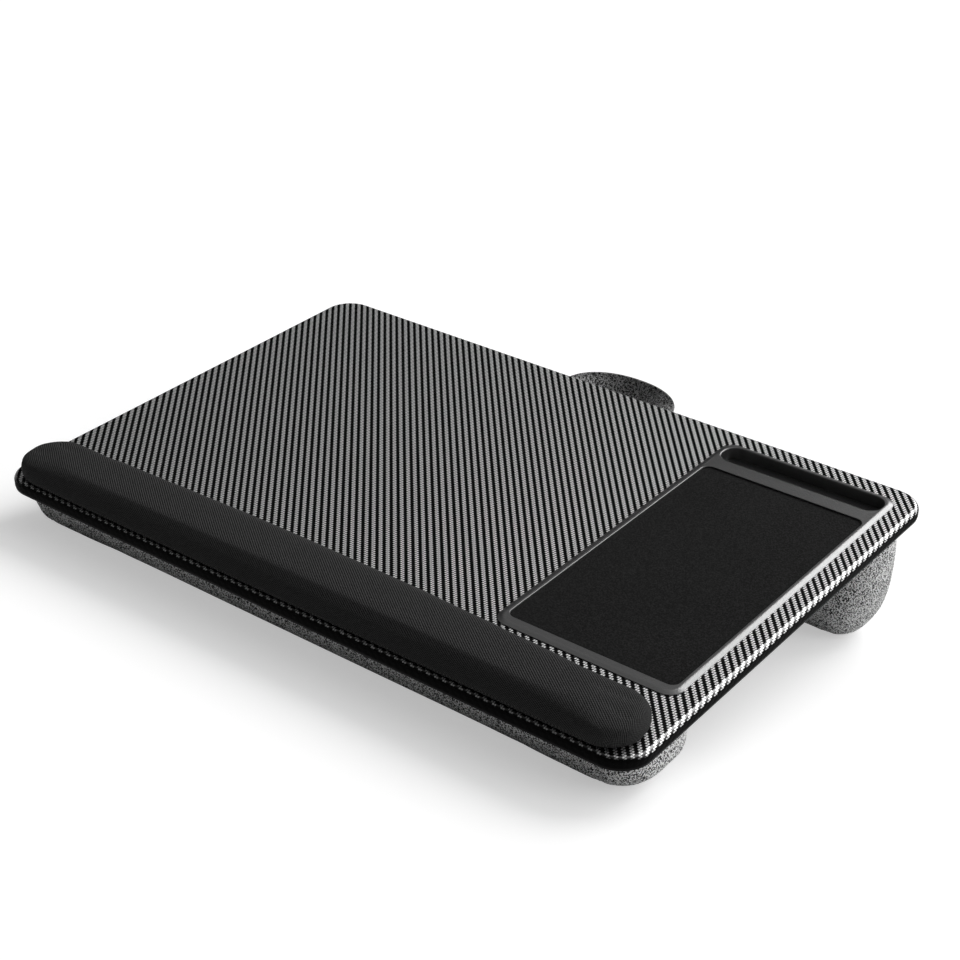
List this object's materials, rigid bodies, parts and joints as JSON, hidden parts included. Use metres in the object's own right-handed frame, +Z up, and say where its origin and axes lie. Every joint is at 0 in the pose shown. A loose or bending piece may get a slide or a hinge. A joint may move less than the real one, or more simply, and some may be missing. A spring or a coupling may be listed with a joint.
{
  "type": "lap tray with cushion",
  "caption": "Cushioned lap tray: carbon-look deck with a padded wrist rest, let-in mouse pad and phone slot, two bolsters below and a carry strap at the rear.",
  "frame": {"origin": "on the floor, under the middle of the object's bounding box", "axes": "+X to the user's right, +Y away from the user, +Z up; the deck slopes up to the rear"},
  "size_m": [0.6, 0.4598, 0.1069],
  "materials": {
    "board": "raw fibreboard",
    "film": "printed carbon twill under a satin clear film",
    "panel": "smooth black",
    "tray": "fine-grained charcoal",
    "mat": "fine-grained black",
    "steel": "zinc plated",
    "rest_cloth": "fine black mesh",
    "foam": "soft foam",
    "plate": "black",
    "backing": "black woven",
    "knit": "heathered grey knit",
    "fill": "loose fill",
    "strap": "heathered dark grey",
    "webbing": "stiff webbing"
  },
  "bodies": {
    "tray": {"deck_core": "board", "carbon_film": "film", "base_panel": "panel", "mouse_tray": "tray", "mouse_mat": "mat", "tray_screws": "steel", "panel_screws": "steel", "wrist_rest_screws": "steel", "strap_screws": "steel", "strap_plates": "steel", "wrist_rest_cover": "rest_cloth", "wrist_rest_foam": "foam", "wrist_rest_plate": "plate", "cushion_cloth": "backing", "front_bolster_cover": "knit", "front_bolster_fill": "fill", "rear_bolster_cover": "knit", "rear_bolster_fill": "fill", "strap_tab_right": "strap", "strap_tab_left": "strap"},
    "handle": {"strap_cover": "strap", "strap_core": "webbing"}
  },
  "joints": [
    {"name": "strap_flex", "type": "hinge", "parent": "tray", "child": "handle", "pos_m": [0, 0.18589, 0.09538], "axis": [1, 0, 0], "range_deg": [-80, 80], "stiffness_Nm_per_rad": 0.06}
  ]
}
